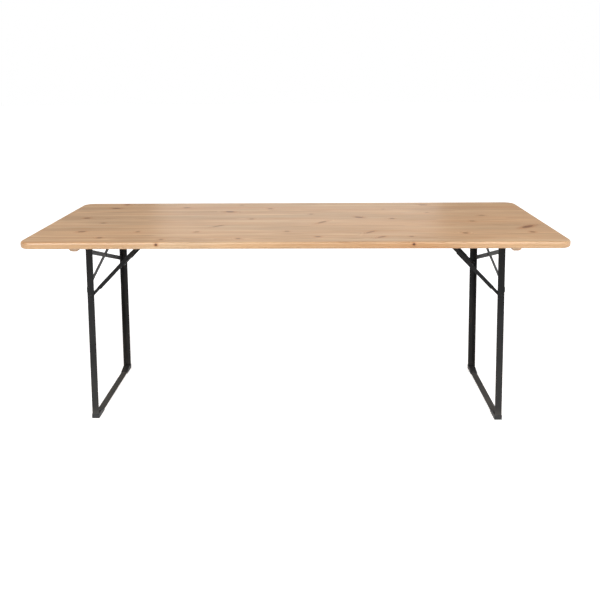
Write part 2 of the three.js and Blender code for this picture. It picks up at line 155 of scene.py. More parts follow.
class Shader:
    """One procedural material, with short calls for the nodes that it is made of."""

    def __init__(self, name):
        self.material = bpy.data.materials.new(name)
        self.material.use_nodes = True
        self.tree = self.material.node_tree
        self.tree.nodes.clear()
        self.surface = self.node("BsdfPrincipled")
        output = self.node("OutputMaterial")
        self.tree.links.new(self.surface.outputs[0], output.inputs[0])
        self.place = self.node("TexCoord").outputs["Object"]

    def node(self, kind, **settings):
        made = self.tree.nodes.new("ShaderNode" + kind)
        for key, value in settings.items():
            setattr(made, key, value)
        return made

    def feed(self, made, *values):
        """Gives a node's inputs their values or links, in order, and returns the node."""
        for socket, value in zip(made.inputs, values):
            self.put(socket, value)
        return made

    def put(self, socket, value):
        if isinstance(value, bpy.types.NodeSocket):
            self.tree.links.new(value, socket)
        elif value is not None:
            socket.default_value = value

    def set(self, **values):
        """Sets the surface's own sockets; an underscore stands for a space."""
        for key, value in values.items():
            self.put(self.surface.inputs[key.replace("_", " ")], value)

    def math(self, operation, *values):
        return self.feed(self.node("Math", operation=operation), *values).outputs[0]

    def total(self, values):
        whole = values[0]
        for value in values[1:]:
            whole = self.math("ADD", whole, value)
        return whole

    def remap(self, value, low, high, new_low=0.0, new_high=1.0):
        made = self.node("MapRange", interpolation_type="SMOOTHSTEP")
        return self.feed(made, value, low, high, new_low, new_high).outputs[0]

    def noise(self, scale, move=(0, 0, 0), detail=2.0, roughness=0.5, colour=False, vector=None):
        """Noise with its own scale along each axis."""
        mapping = self.node("Mapping")
        self.feed(mapping, vector or self.place, move, (0, 0, 0), scale)
        made = self.node("TexNoise")
        self.put(made.inputs["Vector"], mapping.outputs[0])
        self.put(made.inputs["Scale"], 1.0)
        self.put(made.inputs["Detail"], detail)
        self.put(made.inputs["Roughness"], roughness)
        return made.outputs[1 if colour else 0]

    def mix(self, factor, first, second, blend="MIX"):
        made = self.node("Mix", data_type="RGBA", blend_type=blend)
        for index, value in ((0, factor), (6, first), (7, second)):
            self.put(made.inputs[index], value)
        return made.outputs[2]

    def ramp(self, factor, stops):
        """A colour ramp from (place, colour) stops; a plain number stands for a grey."""
        made = self.node("ValToRGB")
        elements = made.color_ramp.elements
        while len(elements) < len(stops):
            elements.new(0.5)
        for element, (place, colour) in zip(elements, stops):
            element.position = place
            element.color = colour if isinstance(colour, tuple) else (colour,) * 3 + (1,)
        self.put(made.inputs[0], factor)
        return made.outputs[0]

    def bump(self, height, distance, strength=1.0):
        made = self.node("Bump")
        self.put(made.inputs["Strength"], strength)
        self.put(made.inputs["Distance"], distance)
        self.put(made.inputs["Height"], height)
        self.put(self.surface.inputs["Normal"], made.outputs[0])


def rgb(red, green, blue):
    """A display colour, 0 to 255, as the linear colour that a socket takes."""
    return tuple(((c / 255 + 0.055) / 1.055) ** 2.4 if c > 10 else c / 255 / 12.92
                 for c in (red, green, blue)) + (1.0,)


RING = 3.1 * MM
EARLY_WOOD = rgb(221, 180, 137)
LATE_WOOD = rgb(188, 137, 90)
PALE_STREAK = rgb(233, 202, 165)
WARM_STREAK = rgb(206, 149, 97)
KNOT_DARK = rgb(122, 76, 48)
KNOT_PALE = rgb(156, 106, 68)
KNOT_HALO = rgb(194, 128, 76)


def pine(name, seed, pith, tone, knots=()):
    """Varnished pine, sawn from a tree whose centre line runs along x through pith, (y, z).

    tone brightens or darkens the board. A knot is (centre, half sizes, turn, strength);
    what its strength has above 1 darkens its core.
    """
    s = Shader(name)
    parts = s.feed(s.node("SeparateXYZ"), s.place).outputs
    wander = s.noise((0.55, 1.4, 1.4), (seed * 7.31, seed * 2.17, seed), 2.0, colour=True)
    drift = s.feed(s.node("SeparateXYZ"), wander).outputs
    across = s.math("ADD", parts[1], s.math("MULTIPLY_ADD", drift[0], 0.085, -pith[0] - 0.0425))
    depth = s.math("ADD", parts[2], s.math("MULTIPLY_ADD", drift[1], 0.05, -pith[1] - 0.025))
    squares = [s.math("MULTIPLY", way, way) for way in (across, depth)]
    radius = s.math("SQRT", s.total(squares))
    ripple = s.noise((7, 45, 45), (seed, 0, 0), 3.0)
    radius = s.math("ADD", radius, s.math("MULTIPLY_ADD", ripple, 0.0022, -0.0011))

    core, halo, bend, deep = [], [], [], []
    near = None
    for centre, half, turn, strength in knots:
        here = s.node("Mapping", vector_type="TEXTURE")
        s.feed(here, s.place, centre, (0, 0, math.radians(turn)), half)
        reach = s.node("VectorMath", operation="LENGTH")
        s.feed(reach, here.outputs[0])
        reach = reach.outputs["Value"]
        bend.append(s.remap(reach, 0.0, 3.4, 1.35 * half[1], 0.0))
        core.append(s.remap(reach, 0.8, 1.12, min(strength, 1.0), 0.0))
        halo.append(s.remap(reach, 0.9, 2.6, 0.75 * min(strength, 1.0), 0.0))
        if strength > 1:
            deep.append(s.remap(reach, 0.7, 1.3, strength - 1, 0.0))
        near = reach if near is None else s.math("MINIMUM", near, reach)
    if knots:
        radius = s.math("ADD", radius, s.total(bend))

    wide = s.math("SINE", s.math("MULTIPLY_ADD", radius, 210.0, seed))
    phase = s.math("MULTIPLY_ADD", wide, 0.75, s.math("DIVIDE", radius, RING))
    ring = s.math("FRACT", phase)
    late = s.ramp(ring, [
        (0.0, 0.0), (0.4, 0.12), (0.72, 0.5), (0.86, 1.0), (0.93, 1.0), (1.0, 0.0),
    ])
    fibre = s.noise((9, 520, 520), (0, seed * 3.7, 0), 3.0, 0.6)
    streak = s.noise((1.1, 34, 20), (seed * 1.9, seed * 5.3, 0), 3.0, 0.55)
    cloud = s.noise((2.2, 7, 5), (seed * 4.1, 0, seed), 2.0)

    colour = s.mix(s.math("MULTIPLY", late, 0.62), EARLY_WOOD, LATE_WOOD)
    colour = s.mix(s.remap(streak, 0.5, 0.70, 0.0, 0.6), colour, WARM_STREAK)
    colour = s.mix(s.remap(streak, 0.47, 0.30, 0.0, 0.6), colour, PALE_STREAK)
    shade = s.remap(fibre, 0.25, 0.75, 0.90, 1.06)
    shade = s.math("MULTIPLY", shade, s.remap(cloud, 0.3, 0.7, 0.92 * tone, 1.07 * tone))
    if deep:
        shade = s.math("MULTIPLY", shade, s.math("SUBTRACT", 1.0, s.total(deep)))
    if knots:
        colour = s.mix(s.total(halo), colour, KNOT_HALO)
        inner = s.math("FRACT", s.math("MULTIPLY", near, 4.5))
        inner = s.mix(inner, KNOT_DARK, KNOT_PALE)
        rim = s.remap(near, 0.72, 0.98, 0.0, 0.7)
        colour = s.mix(s.total(core), colour, s.mix(rim, inner, KNOT_DARK))
    bright = s.node("VectorMath", operation="SCALE")
    s.put(bright.inputs[0], colour)
    s.put(bright.inputs["Scale"], shade)
    s.set(Base_Color=bright.outputs[0])
    gloss = s.noise((14, 60, 60), (0, 0, seed), 3.0)
    s.set(Roughness=s.math("MULTIPLY_ADD", gloss, 0.14, 0.26), Specular_IOR_Level=0.4)
    relief = s.math("ADD", s.math("MULTIPLY", late, 0.35), s.math("MULTIPLY", fibre, 0.6))
    s.bump(relief, 0.12 * MM, 0.7)
    return s.material


def powder_coat():
    """Dark satin powder coat with a fine orange peel, dust near the floor, a painted shade gradient
    that leaves the steel darker higher up under the top, and rubbed edges.
    """
    s = Shader("powder_coat")
    cloud = s.noise((5, 5, 5), detail=4.0)
    speck = s.noise((260, 260, 260), (3, 1, 2), 2.0)
    chip = s.noise((42, 42, 42), (5, 8, 2), 4.0, 0.65)
    edge = s.node("Attribute", attribute_name="edge").outputs["Fac"]
    colour = s.mix(s.remap(cloud, 0.3, 0.7), rgb(27, 27, 28), rgb(37, 37, 38))
    colour = s.mix(s.remap(speck, 0.68, 0.82, 0.0, 0.25), colour, rgb(84, 83, 80))
    height = s.feed(s.node("SeparateXYZ"), s.place).outputs[2]
    # The first term is dust in the last few centimetres above the floor; the second, which lightens
    # the steel from 0.6 m down to the floor, is painted shade for the top's shadow on the upper
    # legs.
    dust_and_painted_shade = s.math(
        "ADD", s.remap(height, 8 * MM, 60 * MM, 0.36, 0.0), s.remap(height, 0.0, 0.6, 0.17, 0.0),
    )
    dust_and_painted_shade = s.math("MULTIPLY", dust_and_painted_shade, s.remap(cloud, 0.25, 0.6, 0.6, 1.0))
    colour = s.mix(dust_and_painted_shade, colour, rgb(104, 102, 98))
    worn = s.math("MULTIPLY", edge, s.remap(chip, 0.47, 0.6, 0.08, 0.7))
    colour = s.mix(worn, colour, rgb(110, 109, 106))
    s.set(Base_Color=colour, Metallic=0.0, Specular_IOR_Level=0.14)
    s.set(Roughness=s.math("MULTIPLY_ADD", cloud, 0.22, 0.34))
    s.bump(s.noise((620, 620, 620), detail=2.0), 0.00005, 0.6)
    return s.material


def bright_steel(name, light, dark, roughness, stretch):
    """Plated or oiled steel with fine working marks; stretch is their scale along each axis."""
    s = Shader(name)
    patch = s.noise((70, 70, 70), detail=4.0)
    mark = s.noise(stretch, (2, 7, 4), 3.0, 0.6)
    colour = s.mix(s.remap(patch, 0.35, 0.68), light, dark)
    colour = s.mix(s.remap(mark, 0.4, 0.75, 0.0, 0.35), colour, rgb(70, 68, 66))
    s.set(Base_Color=colour, Metallic=1.0)
    s.set(Roughness=s.math("MULTIPLY_ADD", mark, 0.22, roughness))
    s.bump(mark, 0.00003, 0.6)
    return s.material


def cap_plastic():
    """Black moulded polyethylene with a fine grain and scuffs near the floor."""
    s = Shader("cap_plastic")
    grain = s.noise((900, 900, 900), detail=2.0)
    scuff = s.noise((90, 30, 200), (1, 4, 6), 4.0, 0.65)
    height = s.feed(s.node("SeparateXYZ"), s.place).outputs[2]
    low = s.remap(height, 0.0, 9 * MM, 1.0, 0.25)
    colour = s.mix(s.remap(scuff, 0.5, 0.75), rgb(26, 26, 27), rgb(44, 44, 44))
    rubbed = s.math("MULTIPLY", low, s.remap(scuff, 0.52, 0.66, 0.0, 0.6))
    colour = s.mix(rubbed, colour, rgb(92, 90, 86))
    s.set(Base_Color=colour, Roughness=s.math("MULTIPLY_ADD", grain, 0.2, 0.48))
    s.bump(grain, 0.00006, 0.7)
    return s.material


ZINC = bright_steel("zinc", rgb(178, 182, 186), rgb(150, 150, 146), 0.3, (300, 90, 300))
MATERIALS = {
    "powder_coat": powder_coat(),
    "zinc": ZINC,
    "spring_steel": bright_steel(
        "spring_steel", rgb(140, 142, 146), rgb(96, 92, 86), 0.24, (60, 700, 60),
    ),
    "cap_plastic": cap_plastic(),
}

# ---- mesh tools -----------------------------------------------------------------------


def as_mesh(bm):
    bmesh.ops.recalc_face_normals(bm, faces=bm.faces)
    mesh = bpy.data.meshes.new("shape")
    bm.to_mesh(mesh)
    bm.free()
    return mesh


def arc(centre, radius, start, end, steps=10):
    """Points round a centre, from one angle to another, in degrees."""
    angles = [math.radians(start + (end - start) * k / steps) for k in range(steps + 1)]
    return [(centre[0] + radius * math.cos(a), centre[1] + radius * math.sin(a)) for a in angles]


def rounded(corners, steps=5):
    """A closed outline through (u, v, radius) corners, each rounded with its own radius."""
    points = []
    for i, (u, v, radius) in enumerate(corners):
        here = Vector((u, v))
        if not radius:
            points.append(here)
            continue
        before = (Vector(corners[i - 1][:2]) - here).normalized()
        after = (Vector(corners[(i + 1) % len(corners)][:2]) - here).normalized()
        half = before.angle(after) / 2
        centre = here + (before + after).normalized() * (radius / math.sin(half))
        first = here + before * (radius / math.tan(half)) - centre
        last = here + after * (radius / math.tan(half)) - centre
        sweep = first.angle(last)
        for k in range(steps + 1):
            share = k / steps
            blend = first * math.sin((1 - share) * sweep) + last * math.sin(share * sweep)
            points.append(centre + blend / math.sin(sweep))
    return points


def rectangle(u0, u1, v0, v1, radius=0.0):
    return rounded([(u0, v0, radius), (u1, v0, radius), (u1, v1, radius), (u0, v1, radius)])


def prism(outline, axis, low, high):
    """A closed solid along an axis; its outline is (y, z), (x, z) or (x, y) across X, Y or Z."""
    place = {
        "X": lambda u, v, w: (w, u, v),
        "Y": lambda u, v, w: (u, w, v),
        "Z": lambda u, v, w: (u, v, w),
    }
    bm = bmesh.new()
    first, last = ([bm.verts.new(place[axis](u, v, w)) for u, v in outline] for w in (low, high))
    bm.faces.new(first)
    bm.faces.new(last[::-1])
    for i in range(len(outline)):
        bm.faces.new((first[i - 1], first[i], last[i], last[i - 1]))
    return as_mesh(bm)


def turned(profile, axis, centre, steps=TURN_STEPS):
    """A turned solid; its profile is (radius, place along the axis), and a zero radius is a tip."""
    turn = {
        "X": lambda c, s, t: (t, c, s),
        "Y": lambda c, s, t: (c, t, s),
        "Z": lambda c, s, t: (c, s, t),
    }
    middle = Vector(centre)
    bm = bmesh.new()
    rings = []
    for radius, along in profile:
        angles = [2 * math.pi * k / steps for k in range(steps)] if radius else [0]
        rings.append([
            bm.verts.new(
                Vector(turn[axis](radius * math.cos(a), radius * math.sin(a), along)) + middle)
            for a in angles
        ])
    if profile[0][0]:
        rings.append(rings[0])
    for one, two in zip(rings, rings[1:]):
        for k in range(steps):
            quad = [
                one[(k - 1) % len(one)], one[k % len(one)],
                two[k % len(two)], two[(k - 1) % len(two)],
            ]
            bm.faces.new(list(dict.fromkeys(quad)))
    return as_mesh(bm)


def domed(radius, base, height, steps=8):
    """Profile of a round head, from the rim of its flat side to its crown; height is signed."""
    rim = 0.3 * height
    rise = abs(height - rim)
    sphere = (radius ** 2 + rise ** 2) / (2 * rise)
    full = math.asin(radius / sphere)
    sign = math.copysign(1, height)
    points = [(radius, base)]
    for k in range(steps):
        angle = full * (1 - k / steps)
        up = sphere * (math.cos(angle) - math.cos(full))
        points.append((sphere * math.sin(angle), base + rim + sign * up))
    return points + [(0, base + height)]


def drop_slivers(bm):
    """Merges points that lie closer together than SLIVER, and removes faces with no area."""
    bmesh.ops.remove_doubles(bm, verts=bm.verts, dist=SLIVER)
    bmesh.ops.dissolve_degenerate(bm, dist=SLIVER, edges=bm.edges)


def boolean(operation, whole, *tools):
    """Joins (UNION), cuts (DIFFERENCE) or intersects (INTERSECT) closed meshes."""
    body = bpy.data.objects.new("work", whole)
    SCENE.collection.objects.link(body)
    helpers = [bpy.data.objects.new("tool", tool) for tool in tools]
    for helper in helpers:
        SCENE.collection.objects.link(helper)
        modifier = body.modifiers.new("step", "BOOLEAN")
        modifier.operation = operation
        modifier.solver = "EXACT"
        modifier.object = helper
    graph = bpy.context.evaluated_depsgraph_get()
    made = bpy.data.meshes.new_from_object(body.evaluated_get(graph))
    for item in [body, *helpers]:
        bpy.data.objects.remove(item)
    bm = bmesh.new()
    bm.from_mesh(made)
    drop_slivers(bm)
    return as_mesh(bm)


def sliced(mesh, point, normal):
    """Cuts off what lies past a plane, and closes the cut."""
    bm = bmesh.new()
    bm.from_mesh(mesh)
    parts = bm.verts[:] + bm.edges[:] + bm.faces[:]
    cut = bmesh.ops.bisect_plane(
        bm, geom=parts, plane_co=point, plane_no=normal, clear_outer=True, dist=1e-7,
    )
    open_edges = [e for e in cut["geom_cut"] if isinstance(e, bmesh.types.BMEdge)]
    bmesh.ops.edgeloop_fill(bm, edges=open_edges)
    return as_mesh(bm)


def eased(mesh, width=EDGE_EASE, segments=3, sharper_than=32, only=None):
    """Rounds the sharp edges, and marks the new faces in the "edge" attribute."""
    bm = bmesh.new()
    bm.from_mesh(mesh)
    bmesh.ops.remove_doubles(bm, verts=bm.verts, dist=1e-6)
    bmesh.ops.dissolve_limit(bm, angle_limit=math.radians(0.4), verts=bm.verts, edges=bm.edges)
    mark = bm.faces.layers.float.new("edge")
    limit = math.radians(sharper_than)
    sharp = [e for e in bm.edges if len(e.link_faces) == 2 and e.calc_face_angle() > limit]
    if only:
        sharp = [e for e in sharp if only(e)]
    made = bmesh.ops.bevel(
        bm, geom=sharp, offset=width, offset_type="OFFSET", segments=segments, profile=0.5,
        affect="EDGES", clamp_overlap=True,
    )
    for face in made["faces"]:
        face[mark] = 1.0
    drop_slivers(bm)
    return as_mesh(bm)


def moved(mesh, matrix):
    copy = mesh.copy()
    copy.transform(matrix)
    if matrix.determinant() < 0:
        copy.flip_normals()
    return copy


def gathered(*meshes):
    """Several closed shells as one mesh."""
    bm = bmesh.new()
    for mesh in meshes:
        bm.from_mesh(mesh)
    return as_mesh(bm)


BODY_OF = {
    node: body for body, nodes in frame["record"]["behaviour"]["bodies"].items() for node in nodes
}


def add(name, mesh, material, body, stands_for=None):
    """Puts a finished mesh into the scene, riding on a body."""
    piece = bpy.data.objects.new(name, mesh)
    SCENE.collection.objects.link(piece)
    mesh.name = name
    mesh.materials.clear()
    mesh.materials.append(material)
    mesh.shade_smooth()
    mesh.set_sharp_from_angle(angle=math.radians(SMOOTH_UNDER))
    normals = piece.modifiers.new("normals", "WEIGHTED_NORMAL")
    normals.keep_sharp = True
    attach(piece, body)
    if stands_for:
        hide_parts(stands_for)
    return piece


def stand_in(node, mesh, slot, material=None):
    """A fine mesh in place of one CAD node."""
    return add(node + "_fine", mesh, material or MATERIALS[slot], BODY_OF[node], node)


def quarters(kind, mesh, slot):
    """A mesh made for the right rear quarter, in place of that node in all four quarters."""
    for side, sign_x in SIDES.items():
        for end, sign_y in ENDS.items():
            mirror = Matrix.Diagonal((sign_x, sign_y, 1, 1))
            stand_in(f"{side}_{end}_{kind}", moved(mesh, mirror), slot)


def halves(kind, mesh, slot):
    """A mesh made for the right side, in place of that node on both sides."""
    for side, sign_x in SIDES.items():
        stand_in(f"{side}_{kind}", moved(mesh, Matrix.Diagonal((sign_x, 1, 1, 1))), slot)


def joint_place(name):
    return Vector(next(j for j in frame["joints"] if j["name"] == name)["pos_m"])


HINGE = joint_place("right_leg_fold")
PIVOT = joint_place("right_strut_swing")
ROD_LOW, ROD_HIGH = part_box("right_tie_rod")
ROD_X = (ROD_LOW.x + ROD_HIGH.x) / 2
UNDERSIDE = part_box("plank_4")[0].z
LEG_LOW, LEG_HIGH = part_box("right_rear_leg")

# ---- top ------------------------------------------------------------------------------

CORNER_STEPS = 18
RIM_STEPS = 9
RIM_SUPPORT = 0.6 * MM

KNOT_SCALE = 0.8
KNOT_DEPTH = 0.09
# knots of each board: x, place across the board, half length, half width, turn, strength
KNOTS = {
    1: [
        (-0.792, 0.078, 14, 11, 0, 0.75), (-0.532, 0.05, 11, 9, 10, 0.6),
        (-0.222, 0.06, 12, 9, -10, 0.7), (0.10, 0.09, 15, 11, 5, 0.75),
        (0.36, 0.085, 30, 9, 40, 0.6), (0.48, 0.09, 11, 9, 0, 0.65),
    ],
    2: [
        (-0.902, 0.085, 20, 12, 15, 0.8), (-0.662, 0.08, 12, 10, 0, 0.6),
        (-0.412, 0.075, 14, 10, 20, 0.55), (-0.03, 0.08, 13, 10, 0, 0.5),
        (0.32, 0.065, 34, 9, 45, 0.6), (0.71, 0.045, 14, 12, 0, 0.8),
        (0.99, 0.06, 13, 11, -10, 0.9),
    ],
    3: [
        (-0.332, 0.085, 44, 7, 42, 0.6), (1.00, 0.055, 46, 15, 38, 0.9),
    ],
    4: [
        (-0.862, 0.045, 13, 10, 0, 0.6), (0.12, 0.05, 36, 10, 48, 0.65),
        (0.79, 0.065, 15, 11, 0, 0.55),
    ],
    5: [
        (-0.972, 0.05, 17, 13, 0, 0.85), (-0.202, 0.02, 13, 10, 0, 0.6),
        (0.29, 0.05, 24, 13, -15, 0.9), (0.44, 0.02, 14, 11, 0, 0.7),
        (0.86, 0.08, 20, 12, 10, 0.5),
    ],
    6: [
        (-0.322, 0.08, 26, 15, -12, 1.0), (0.07, 0.02, 13, 10, 0, 0.5),
        (0.62, 0.05, 11, 9, 0, 0.4),
    ],
    7: [
        (-0.902, 0.07, 28, 14, -8, 0.8), (-0.552, 0.08, 20, 13, 0, 0.75),
        (-0.132, 0.05, 15, 12, 0, 0.6), (0.42, 0.03, 11, 9, 0, 0.4),
    ],
    8: [
        (-0.872, 0.06, 16, 14, 0, 0.8), (0.63, 0.03, 26, 12, -12, 0.75),
        (-0.282, 0.04, 12, 10, 0, 0.4),
    ],
}
# knots that show in the front edge: x and strength
EDGE_KNOTS = [(-0.541, 1.4), (0.476, 1.4)]
EDGE_KNOT_HALF = (5.2 * MM, 24 * MM, 4.6 * MM)

# seed, pith across from the board's middle, pith depth below the top, tone
BOARDS = {
    1: (1.0, 0.010, 0.085, 1.00),
    2: (2.3, -0.030, 0.120, 1.02),
    3: (3.1, 0.022, 0.070, 0.98),
    4: (4.7, 0.055, 0.110, 1.01),
    5: (5.2, -0.012, 0.090, 0.99),
    6: (6.9, 0.035, 0.130, 1.02),
    7: (7.4, -0.045, 0.080, 0.98),
    8: (8.6, 0.015, 0.100, 1.00),
}


def slab():
    """The whole top as one closed solid with its rounded rim."""
    low = Vector(map(min, *(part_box(f"plank_{i}")[0] for i in BOARDS)))
    high = Vector(map(max, *(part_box(f"plank_{i}")[1] for i in BOARDS)))
    rim = [(TOP_ROUND + RIM_SUPPORT, low.z)]
    for base, start in ((low.z + TOP_ROUND, -90), (high.z - TOP_ROUND, 0)):
        for across, height in arc((0, base), TOP_ROUND, start, start + 90, RIM_STEPS):
            rim.append((TOP_ROUND - across, height))
    rim.append((TOP_ROUND + RIM_SUPPORT, high.z))
    bm = bmesh.new()
    rings = []
    for inset, z in rim:
        ring = []
        for sign_x, sign_y, start in ((1, 1, 0), (-1, 1, 90), (-1, -1, 180), (1, -1, 270)):
            centre = (sign_x * (high.x - TOP_CORNER), sign_y * (high.y - TOP_CORNER))
            ring += arc(centre, TOP_CORNER - inset, start, start + 90, CORNER_STEPS)
        rings.append([bm.verts.new((x, y, z)) for x, y in ring])
    for one, two in zip(rings, rings[1:]):
        for k in range(len(one)):
            bm.faces.new((one[k - 1], one[k], two[k], two[k - 1]))
    bm.faces.new(rings[0][::-1])
    bm.faces.new(rings[-1])
    return as_mesh(bm)


def make_boards():
    whole = slab()
    top = CAD_BOX[1][2]
    for number, (seed, pith_y, pith_depth, tone) in BOARDS.items():
        node = f"plank_{number}"
        low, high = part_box(node)
        front, back = round(low.y, 3), round(high.y, 3)
        board = whole
        if number > 1:
            board = sliced(board, (0, front + BOARD_GAP / 2, 0), (0, -1, 0))
        if number < len(BOARDS):
            board = sliced(board, (0, back - BOARD_GAP / 2, 0), (0, 1, 0))
        board = eased(board, BOARD_EASE, 2, 60)
        knots = [
            ((x, front + across, top),
             (KNOT_SCALE * length * MM, KNOT_SCALE * width * MM, KNOT_DEPTH), turn, strength)
            for x, across, length, width, turn, strength in KNOTS[number]
        ]
        if number == 1:
            centre_z = top - TOP_ROUND
            knots += [
                ((x, front, centre_z), EDGE_KNOT_HALF, 0, strength) for x, strength in EDGE_KNOTS
            ]
        pith = ((front + back) / 2 + pith_y, top - pith_depth)
        stand_in(node, board, "pine", pine(f"pine_board_{number}", seed, pith, tone, knots))


make_boards()

# ---- battens --------------------------------------------------------------------------

BATTEN_SCREWS = (-0.24, -0.08, 0.08, 0.24)
SCREW_HOLE_RADIUS = 6.5 * MM
SCREW_HOLE_DEPTH = 12 * MM


def make_battens():
    low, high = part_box("right_batten")
    section = rounded([
        (low.x, high.z, 0), (low.x, low.z, BATTEN_ROUND),
        (high.x, low.z, BATTEN_ROUND), (high.x, high.z, 0),
    ], 8)
    bar = prism(section, "Y", low.y, high.y)
    for sign in (-1, 1):
        bar = sliced(bar, (0, sign * high.y, low.z + BATTEN_CHAMFER), (0, sign, -1))
    middle = (low.x + high.x) / 2
    bottom = low.z
    holes = [
        turned([
            (0, bottom - MM), (SCREW_HOLE_RADIUS, bottom - MM),
            (SCREW_HOLE_RADIUS, bottom + SCREW_HOLE_DEPTH), (0, bottom + SCREW_HOLE_DEPTH),
        ], "Z", (middle, y, 0), 28)
        for y in BATTEN_SCREWS
    ]
    bar = eased(boolean("DIFFERENCE", bar, *holes), 1.1 * MM, 3)
    for side, sign in SIDES.items():
        mirror = Matrix.Diagonal((sign, 1, 1, 1))
        # The low tone, 0.82, paints the battens darker than the boards: painted shade for their
        # place under the top.
        wood = pine(f"pine_{side}_batten", 9.5 + sign, (0.06, UNDERSIDE + 0.04), 0.82)
        stand_in(f"{side}_batten", moved(bar, mirror), "pine", wood)


make_battens()

# ---- leg frames -----------------------------------------------------------------------


def leg_section():
    """Angle steel with an easy outer corner, a small inner fillet and rounded toes."""
    out, back = LEG_HIGH.x, LEG_HIGH.y
    return rounded([
        (out, back, 1.0 * MM),
        (LEG_LOW.x, back, 0.3 * MM),
        (LEG_LOW.x, back - STEEL, TOE_ROUND),
        (out - STEEL, back - STEEL, 0.25 * MM),
        (out - STEEL, LEG_LOW.y, TOE_ROUND),
        (out, LEG_LOW.y, 0.3 * MM),
    ])


def hole(x, z, radius, low, high):
    return turned([(0, low), (radius, low), (radius, high), (0, high)], "Y", (x, 0, z))


def make_legs():
    low, high = LEG_LOW, LEG_HIGH
    bar = prism(leg_section(), "Z", low.z, high.z)
    bar = sliced(bar, (low.x + LEG_CHAMFER, 0, high.z), (-1, 0, 1))
    bar = sliced(bar, (0, low.y + LEG_CHAMFER, high.z), (0, -1, 1))
    reach = (high.y - 2 * STEEL, high.y + STEEL)
    bar = boolean(
        "DIFFERENCE", bar,
        hole(HINGE.x, HINGE.z, PIVOT_RADIUS + FIT, *reach),
        hole(PIVOT.x, PIVOT.z, PIVOT_RADIUS + FIT, *reach),
    )
    quarters("leg", eased(bar, 0.35 * MM, 2), "powder_coat")


def make_floor_bars():
    low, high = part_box("right_floor_bar")
    section = rectangle(low.x, high.x, low.z, high.z, 1.1 * MM)
    halves("floor_bar", eased(prism(section, "Y", low.y, high.y), 0.4 * MM, 2), "powder_coat")


def cap_outline(low, high):
    """Side of a foot cap: its sole, its round heel and the slope down to its toe."""
    heel = LEG_LOW.y - CAP_WALL
    return rounded([
        (low.y, low.z, 2 * MM), (high.y, low.z, 2 * MM), (high.y, high.z, 1 * MM),
        (heel, high.z, 6 * MM),
        (low.y + 2 * MM, CAP_TOE, 2 * MM), (low.y, CAP_TOE - 2 * MM, 1 * MM),
    ], 6)


def make_foot_caps():
    low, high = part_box("right_rear_foot_cap")
    bar_low, bar_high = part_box("right_floor_bar")
    gap = CAP_PLAY
    grown = [
        (LEG_HIGH.x + gap, LEG_HIGH.y + gap), (LEG_LOW.x - gap, LEG_HIGH.y + gap),
        (LEG_LOW.x - gap, LEG_HIGH.y - STEEL - gap),
        (LEG_HIGH.x - STEEL - gap, LEG_HIGH.y - STEEL - gap),
        (LEG_HIGH.x - STEEL - gap, LEG_LOW.y - gap), (LEG_HIGH.x + gap, LEG_LOW.y - gap),
    ]
    leg_pocket = prism(grown, "Z", bar_high.z, high.z + MM)
    bar_pocket = prism(
        rectangle(bar_low.x - gap, bar_high.x + gap, bar_low.z - gap, bar_high.z + gap),
        "Y", low.y - MM, bar_high.y + gap,
    )
    cap = prism(cap_outline(low, high), "X", low.x, high.x)
    ribs = [
        prism(rectangle(y, y + RIB_WIDTH, -MM, RIB_DEPTH), "X", low.x - MM, high.x + MM)
        for y in (low.y + k * RIB_PITCH + 8 * MM for k in range(7))
    ]
    cap = eased(boolean("DIFFERENCE", cap, leg_pocket, bar_pocket, *ribs), 0.5 * MM, 2)
    quarters("foot_cap", cap, "cap_plastic")


def brace_heights(node):
    """A brace's box, the slope of its middle line, and half its height across that slope."""
    low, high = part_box(node)
    run = high.y - low.y
    rise = high.z - low.z
    # the box is higher than the middle line's rise by the width times hypot(1, slope)
    slope = rise / run
    for _ in range(8):
        slope = (rise - BRACE_WIDTH * math.hypot(1, slope)) / run
    return low, high, slope, BRACE_WIDTH / 2 * math.hypot(1, slope)


def make_braces():
    for kind, sign in (("inner_brace", -1), ("outer_brace", 1)):
        low, high, slope, half = brace_heights("right_" + kind)
        middle = (low.z + high.z) / 2
        slope *= sign
        outline = [
            (y, middle + slope * y + edge)
            for y, edge in ((low.y, -half), (high.y, -half), (high.y, half), (low.y, half))
        ]
        bar = prism(outline, "X", low.x, high.x)
        start, end = low.x - MM, high.x + MM
        drill = turned(
            [(0, start), (BRACE_DRILL, start), (BRACE_DRILL, end), (0, end)], "X", (0, 0, middle),
        )
        halves(kind, eased(boolean("DIFFERENCE", bar, drill), 0.5 * MM, 3), "powder_coat")


def bead(start, end, radius, phase):
    """A weld bead: a short rod whose thickness ripples along it, with round ends."""
    start, end = Vector(start), Vector(end)
    along = (end - start).normalized()
    side = along.orthogonal().normalized()
    other = along.cross(side)
    steps = max(10, round((end - start).length / WELD_STEP))
    angles = [2 * math.pi * j / WELD_SIDES for j in range(WELD_SIDES)]
    bm = bmesh.new()
    rings = []
    for k in range(steps + 1):
        share = k / steps
        cap = math.sqrt(max(0.0, 1 - (abs(2 * share - 1) ** 6)))
        size = radius * (0.25 + 0.75 * cap) * (1 + 0.09 * math.sin(share * steps * 1.35 + phase))
        centre = start.lerp(end, share)
        rings.append([
            bm.verts.new(centre + size * (side * math.cos(a) + other * math.sin(a)))
            for a in angles
        ])
    for one, two in zip(rings, rings[1:]):
        for j in range(WELD_SIDES):
            bm.faces.new((one[j - 1], one[j], two[j], two[j - 1]))
    bm.faces.new(rings[0][::-1])
    bm.faces.new(rings[-1])
    return as_mesh(bm)


